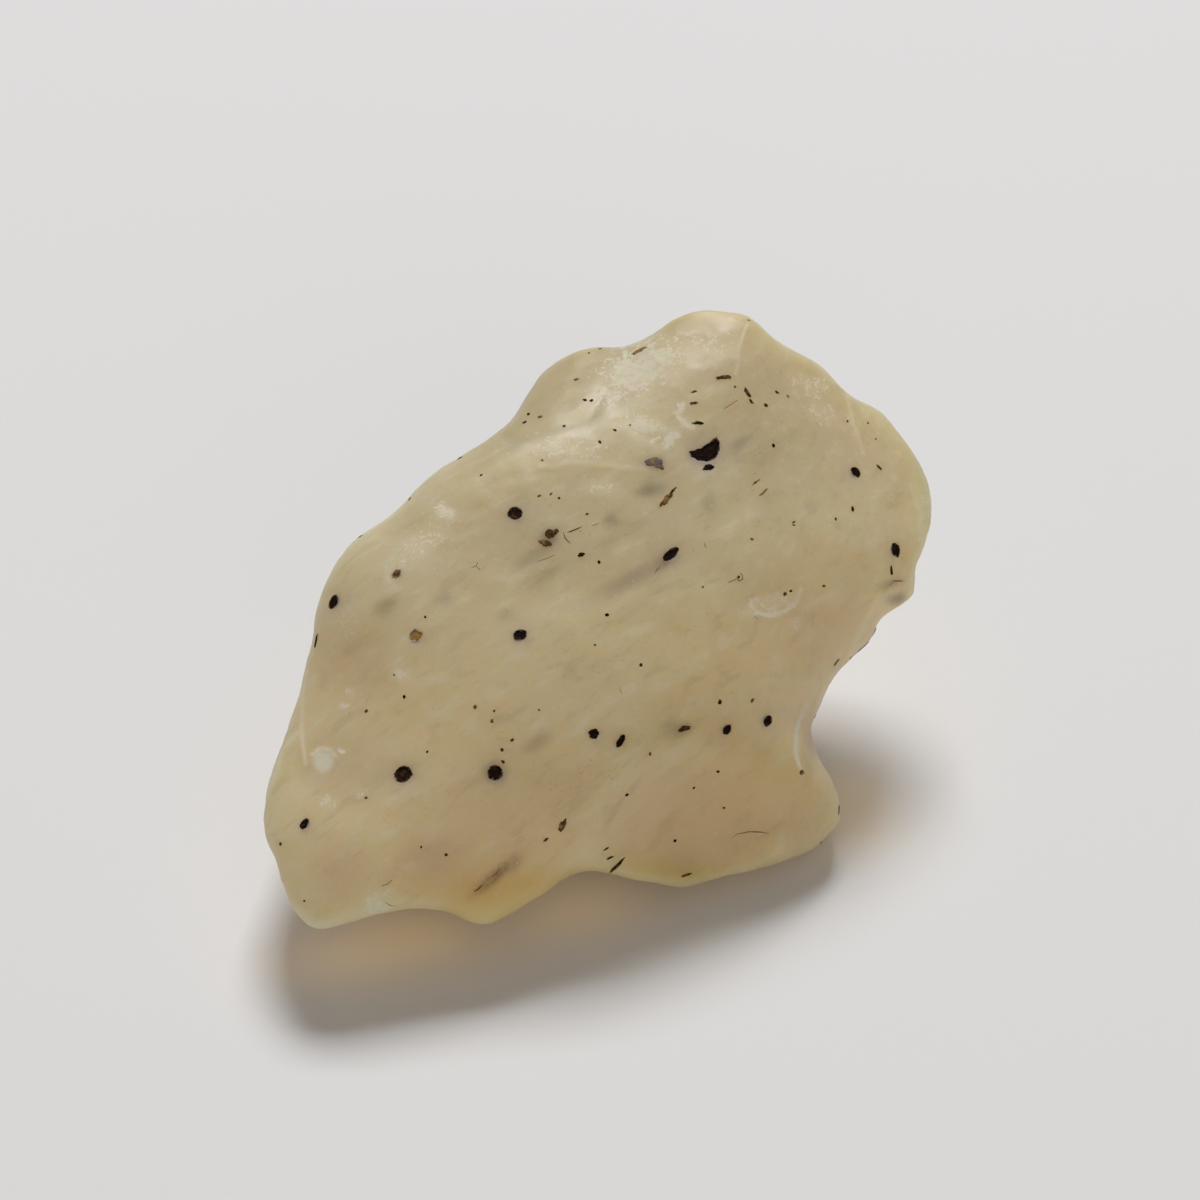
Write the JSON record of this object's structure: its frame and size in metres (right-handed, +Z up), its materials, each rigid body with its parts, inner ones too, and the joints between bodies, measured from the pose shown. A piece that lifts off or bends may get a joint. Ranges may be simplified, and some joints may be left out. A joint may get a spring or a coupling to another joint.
{
  "type": "libyan desert glass",
  "caption": "Natural nodule of translucent pale yellow desert glass with wind-worn facets, a notched side and open bubbles, lying on a worn flat of its underside.",
  "frame": {"origin": "middle of the box seen from above, on the plane of the worn flat that the stone lies on", "axes": "+X runs along the stone's length across its broad face, +Y runs back under the raised crown, +Z is up; the broad face looks towards -Y and up"},
  "size_m": [0.0336, 0.0308, 0.0215],
  "materials": {
    "desert_glass": "translucent pale yellow natural glass, satin, wind-worn"
  },
  "bodies": {
    "root": {"desert_glass": "desert_glass"}
  },
  "joints": []
}
